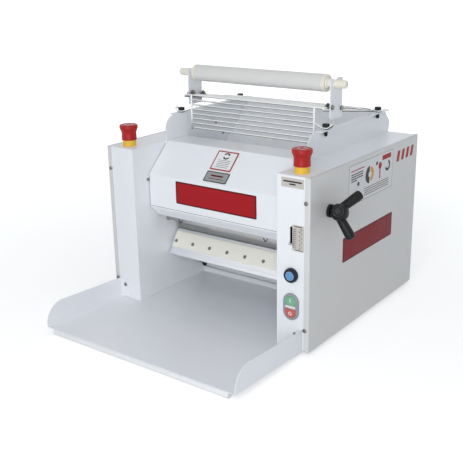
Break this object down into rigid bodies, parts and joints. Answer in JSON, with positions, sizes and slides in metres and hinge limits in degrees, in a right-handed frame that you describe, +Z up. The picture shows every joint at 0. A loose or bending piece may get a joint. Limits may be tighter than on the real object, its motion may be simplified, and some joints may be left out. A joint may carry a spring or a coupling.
{
  "type": "benchtop dough sheeter",
  "caption": "Benchtop dough sheeter: geared twin rolls between two housings, feed shelf and chute under a wire guard, gap handle, sloping outlet tray and a rolling pin on rests.",
  "frame": {"origin": "middle of the whole outline, on the counter the feet stand on", "axes": "+X towards the side with the gap handle, +Y towards the back, -Y towards the outlet tray, +Z up"},
  "size_m": [0.6164, 0.7466, 0.5595],
  "materials": {
    "white_enamel": "gloss powder coat, cool white",
    "steel": "ground steel",
    "polished_steel": "ground and polished roll surface",
    "zinc_steel": "zinc plated",
    "cast_grey": "raw casting, oiled",
    "motor_paint": "grey blue motor paint",
    "white_wire": "plastic coated wire, white",
    "black_plastic": "moulded, glossy black",
    "ivory_plastic": "food grade sheet, ivory",
    "cream_plastic": "turned food grade plastic, cream",
    "grey_plastic": "food grade tube, light grey",
    "white_plastic": "white tube",
    "red_plastic": "moulded red",
    "yellow_plastic": "moulded yellow",
    "blue_plastic": "moulded blue",
    "green_plastic": "moulded green",
    "bezel_grey": "moulded grey",
    "rubber": "black rubber",
    "scale_plate": "printed scale plate"
  },
  "bodies": {
    "frame": {"housing_left": "white_enamel", "housing_right": "white_enamel", "side_cover_left": "white_enamel", "side_cover_right": "white_enamel", "bearing_plates": "steel", "tie_bars": "zinc_steel", "base_plate": "zinc_steel", "motor_guard": "white_enamel", "rear_panel": "white_enamel", "rubber_feet": "rubber", "front_hood": "white_enamel", "hopper_side_left": "white_enamel", "hopper_side_right": "white_enamel", "rear_chute": "white_enamel", "lower_bearings": "cast_grey", "handle_bush": "black_plastic", "jackshaft_bearing": "cast_grey", "v_belt": "rubber", "motor": "motor_paint", "outlet_tray": "white_enamel", "tray_foot_bar": "white_plastic", "screw_heads": "zinc_steel", "wire_guard": "white_wire", "pin_rests": "white_enamel", "pin_rest_bolts": "zinc_steel", "estop_collars": "yellow_plastic", "reset_button_ring": "black_plastic", "control_bezel": "bezel_grey", "switch_blocks": "bezel_grey", "gap_scale_plate": "scale_plate"},
    "lower_roll": {"roll_lower": "polished_steel", "roll_gear_lower": "cast_grey", "drive_gear": "cast_grey"},
    "roll_carriage": {"bearing_blocks": "cast_grey", "upper_scraper": "steel", "scraper_hooks": "black_plastic"},
    "upper_roll": {"roll_upper": "polished_steel", "roll_gear_upper": "cast_grey"},
    "countershaft": {"jackshaft": "steel", "pulley_large": "cast_grey"},
    "motor_rotor": {"motor_shaft": "steel", "pulley_motor": "cast_grey"},
    "gap_control": {"gap_shaft": "zinc_steel", "gap_cams": "steel", "gap_handle": "black_plastic"},
    "gap_pointer": {"gap_pointer": "steel"},
    "apron": {"exit_apron": "steel", "scraper_sheet": "ivory_plastic", "scraper_screws": "zinc_steel"},
    "pin_axle": {"rolling_pin_axle": "cream_plastic"},
    "pin_tube": {"rolling_pin_tube": "grey_plastic"},
    "knob_front_left": {"guard_knob_front_left": "black_plastic"},
    "knob_front_right": {"guard_knob_front_right": "black_plastic"},
    "knob_rear_left": {"guard_knob_rear_left": "black_plastic"},
    "knob_rear_right": {"guard_knob_rear_right": "black_plastic"},
    "estop_left": {"estop_head_left": "red_plastic"},
    "estop_right": {"estop_head_right": "red_plastic"},
    "reset_button": {"reset_button": "blue_plastic"},
    "start_key": {"start_key": "green_plastic"},
    "stop_key": {"stop_key": "red_plastic"}
  },
  "joints": [
    {"name": "lower_roll_spin", "type": "hinge", "parent": "frame", "child": "lower_roll", "pos_m": [-0.02815, 0.04825, 0.175], "axis": [1, 0, 0], "continuous": true},
    {"name": "gap_handle_turn", "type": "hinge", "parent": "frame", "child": "gap_control", "pos_m": [-0.02815, -0.05675, 0.304], "axis": [-1, 0, 0], "range_deg": [0, 210.1]},
    {"name": "roll_gap_slide", "type": "slide", "parent": "frame", "child": "roll_carriage", "axis": [0, -0.6313, 0.7756], "range_m": [0, 0.009]},
    {"name": "upper_roll_spin", "type": "hinge", "parent": "roll_carriage", "child": "upper_roll", "pos_m": [-0.02815, -0.00011, 0.23441], "axis": [1, 0, 0], "continuous": true},
    {"name": "countershaft_spin", "type": "hinge", "parent": "frame", "child": "countershaft", "pos_m": [-0.02815, 0.12982, 0.13696], "axis": [1, 0, 0], "continuous": true},
    {"name": "motor_spin", "type": "hinge", "parent": "frame", "child": "motor_rotor", "pos_m": [-0.02815, 0.26225, 0.098], "axis": [1, 0, 0], "continuous": true},
    {"name": "gap_pointer_slide", "type": "slide", "parent": "frame", "child": "gap_pointer", "axis": [0, 0, 1], "range_m": [0, 0.033]},
    {"name": "apron_hinge", "type": "hinge", "parent": "frame", "child": "apron", "pos_m": [-0.02815, -0.00475, 0.118], "axis": [1, 0, 0], "range_deg": [0, 10], "stiffness_Nm_per_rad": 5, "springref_deg": -11.46},
    {"name": "rolling_pin_lift", "type": "slide", "parent": "frame", "child": "pin_axle", "axis": [0, 0, 1], "range_m": [0, 0.06]},
    {"name": "rolling_pin_spin", "type": "hinge", "parent": "pin_axle", "child": "pin_tube", "pos_m": [-0.03155, 0.09525, 0.54], "axis": [1, 0, 0], "continuous": true},
    {"name": "knob_front_left_turn", "type": "hinge", "parent": "frame", "child": "knob_front_left", "pos_m": [-0.23245, 0.05275, 0.45], "axis": [0, 0, 1], "continuous": true},
    {"name": "knob_rear_left_turn", "type": "hinge", "parent": "frame", "child": "knob_rear_left", "pos_m": [-0.23245, 0.29825, 0.45], "axis": [0, 0, 1], "continuous": true},
    {"name": "estop_left_press", "type": "slide", "parent": "frame", "child": "estop_left", "axis": [0, 0, -1], "range_m": [0, 0.004]},
    {"name": "knob_front_right_turn", "type": "hinge", "parent": "frame", "child": "knob_front_right", "pos_m": [0.17615, 0.05275, 0.45], "axis": [0, 0, 1], "continuous": true},
    {"name": "knob_rear_right_turn", "type": "hinge", "parent": "frame", "child": "knob_rear_right", "pos_m": [0.17615, 0.29825, 0.45], "axis": [0, 0, 1], "continuous": true},
    {"name": "estop_right_press", "type": "slide", "parent": "frame", "child": "estop_right", "axis": [0, 0, -1], "range_m": [0, 0.004]},
    {"name": "reset_button_press", "type": "slide", "parent": "frame", "child": "reset_button", "axis": [0, 1, 0], "range_m": [0, 0.002], "stiffness_N_per_m": 800, "springref_m": -0.001},
    {"name": "start_key_press", "type": "slide", "parent": "frame", "child": "start_key", "axis": [0, 1, 0], "range_m": [0, 0.002], "stiffness_N_per_m": 800, "springref_m": -0.001},
    {"name": "stop_key_press", "type": "slide", "parent": "frame", "child": "stop_key", "axis": [0, 1, 0], "range_m": [0, 0.002], "stiffness_N_per_m": 800, "springref_m": -0.001}
  ],
  "couplings": [
    {"joint": "upper_roll_spin", "follows": "lower_roll_spin", "ratio": -1},
    {"joint": "countershaft_spin", "follows": "lower_roll_spin", "ratio": -3.5},
    {"joint": "motor_spin", "follows": "lower_roll_spin", "ratio": -10.934},
    {"joint": "gap_handle_turn", "follows": "roll_gap_slide", "rad_per_m": 407.24},
    {"joint": "gap_pointer_slide", "follows": "roll_gap_slide", "ratio": 3.6652}
  ]
}
